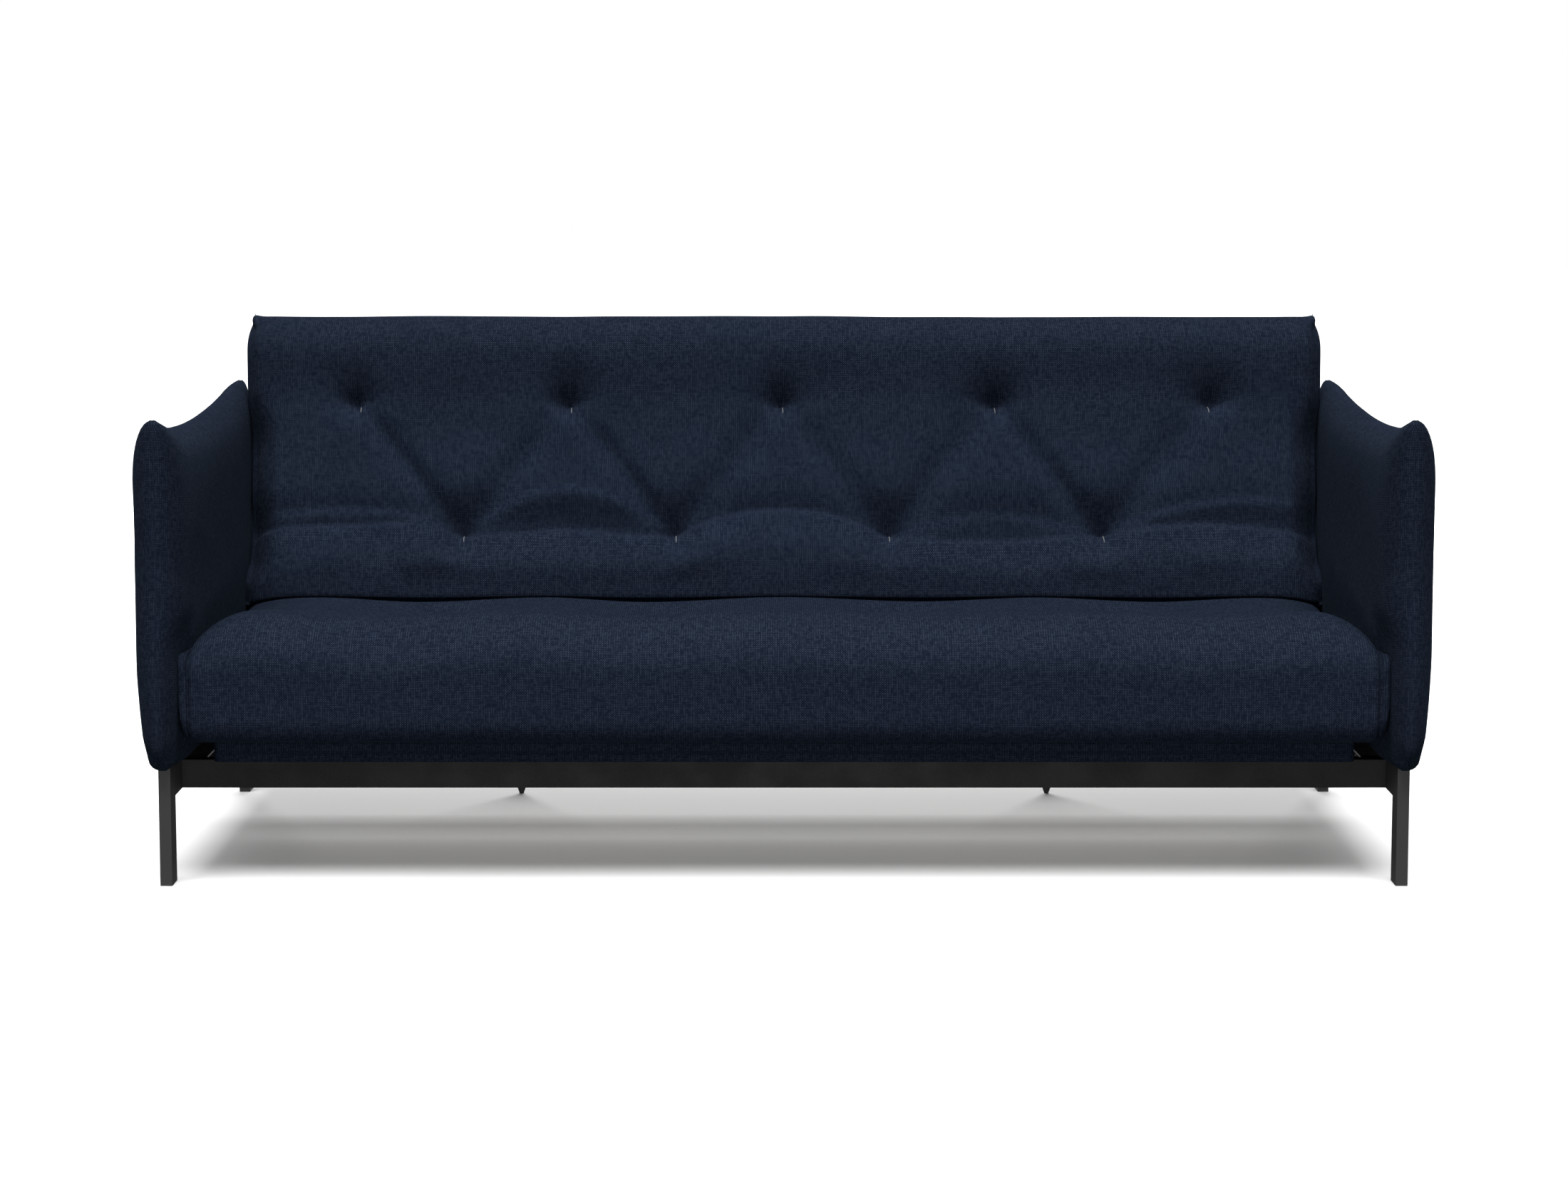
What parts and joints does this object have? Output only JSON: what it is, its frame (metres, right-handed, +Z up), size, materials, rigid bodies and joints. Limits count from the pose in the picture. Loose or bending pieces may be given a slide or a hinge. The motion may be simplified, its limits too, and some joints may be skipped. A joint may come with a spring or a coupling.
{
  "type": "futon sofa bed",
  "caption": "Sofa with padded side arms on a slim steel frame; a tufted mattress folded into seat and back slides forward and folds flat into a bed.",
  "frame": {"origin": "on the floor, under the middle of the sofa's bounding box", "axes": "+X to the right as seen from the front, the front faces -Y, +Z up"},
  "size_m": [2.156, 1.06, 0.8923],
  "materials": {
    "black_steel": "fine-grained satin black powder coat",
    "zinc_steel": "bright zinc plate",
    "black_plastic": "moulded matt black",
    "white_nylon": "natural nylon",
    "buffer_rubber": "matt",
    "birch": "clear-lacquered bent birch",
    "board": "raw plywood",
    "navy_fabric": "coarse navy linen-look weave with slubs"
  },
  "bodies": {
    "base": {"front_leg_left": "black_steel", "front_leg_right": "black_steel", "rear_leg_left": "black_steel", "rear_leg_right": "black_steel", "leg_feet": "black_plastic", "side_beam_left": "black_steel", "side_beam_right": "black_steel", "arm_top_bar_left": "black_steel", "arm_top_bar_right": "black_steel", "arm_board_left": "board", "arm_board_right": "board", "front_rail": "black_steel", "rear_rail": "black_steel", "rail_end_plugs": "zinc_steel", "rail_bolts": "zinc_steel", "rear_support_leg_left": "black_steel", "rear_support_leg_right": "black_steel", "support_leg_tips": "black_plastic", "arm_pad_outer_left": "navy_fabric", "arm_pad_outer_right": "navy_fabric", "arm_pad_inner_left": "navy_fabric", "arm_pad_inner_right": "navy_fabric", "slide_channel_left": "zinc_steel", "slide_channel_right": "zinc_steel", "channel_screws": "zinc_steel", "front_rail_glides": "black_plastic", "rear_rail_buffers": "buffer_rubber"},
    "seat": {"seat_side_tube_left": "black_steel", "seat_side_tube_right": "black_steel", "seat_front_tube": "black_steel", "seat_rear_tube": "black_steel", "seat_centre_tube": "black_steel", "seat_front_trim": "navy_fabric", "seat_slats": "birch", "seat_slat_holders": "black_plastic", "roller_bracket_left": "black_steel", "roller_bracket_right": "black_steel", "roller_axles": "zinc_steel", "seat_hinge_plate_left": "black_steel", "seat_hinge_plate_right": "black_steel", "hinge_pins": "zinc_steel", "pawl_pins": "zinc_steel", "mattress_seat": "navy_fabric"},
    "back": {"back_side_tube_left": "black_steel", "back_side_tube_right": "black_steel", "back_bottom_tube": "black_steel", "back_top_tube": "black_steel", "back_centre_tube": "black_steel", "back_slats": "birch", "back_slat_holders": "black_plastic", "back_hinge_plate_left": "black_steel", "back_hinge_plate_right": "black_steel", "hinge_bushes": "black_plastic", "mattress_back": "navy_fabric"},
    "front_roller_left": {"front_roller_left": "white_nylon"},
    "front_roller_right": {"front_roller_right": "white_nylon"},
    "rear_roller_left": {"rear_roller_left": "white_nylon"},
    "rear_roller_right": {"rear_roller_right": "white_nylon"},
    "pawl_left": {"pawl_left": "zinc_steel"},
    "pawl_right": {"pawl_right": "zinc_steel"}
  },
  "joints": [
    {"name": "seat_slide", "type": "slide", "parent": "base", "child": "seat", "axis": [0, -1, 0], "range_m": [0, 0.24]},
    {"name": "back_fold", "type": "hinge", "parent": "seat", "child": "back", "pos_m": [0, 0.35367, 0.233], "axis": [-1, 0, 0], "range_deg": [0, 75.6]},
    {"name": "front_roller_left_turn", "type": "hinge", "parent": "seat", "child": "front_roller_left", "pos_m": [-1.007, -0.05, 0.1693], "axis": [1, 0, 0], "range_deg": [0, 900]},
    {"name": "front_roller_right_turn", "type": "hinge", "parent": "seat", "child": "front_roller_right", "pos_m": [1.007, -0.05, 0.1693], "axis": [1, 0, 0], "range_deg": [0, 900]},
    {"name": "rear_roller_left_turn", "type": "hinge", "parent": "seat", "child": "rear_roller_left", "pos_m": [-1.007, 0.275, 0.1693], "axis": [1, 0, 0], "range_deg": [0, 900]},
    {"name": "rear_roller_right_turn", "type": "hinge", "parent": "seat", "child": "rear_roller_right", "pos_m": [1.007, 0.275, 0.1693], "axis": [1, 0, 0], "range_deg": [0, 900]},
    {"name": "pawl_left_swing", "type": "hinge", "parent": "seat", "child": "pawl_left", "pos_m": [-0.9384, 0.34267, 0.199], "axis": [1, 0, 0], "range_deg": [-9, 0]},
    {"name": "pawl_right_swing", "type": "hinge", "parent": "seat", "child": "pawl_right", "pos_m": [0.9384, 0.34267, 0.199], "axis": [1, 0, 0], "range_deg": [-9, 0]}
  ],
  "couplings": [
    {"joint": "front_roller_left_turn", "follows": "seat_slide", "rad_per_m": 62.5},
    {"joint": "front_roller_right_turn", "follows": "seat_slide", "rad_per_m": 62.5},
    {"joint": "rear_roller_left_turn", "follows": "seat_slide", "rad_per_m": 62.5},
    {"joint": "rear_roller_right_turn", "follows": "seat_slide", "rad_per_m": 62.5}
  ]
}
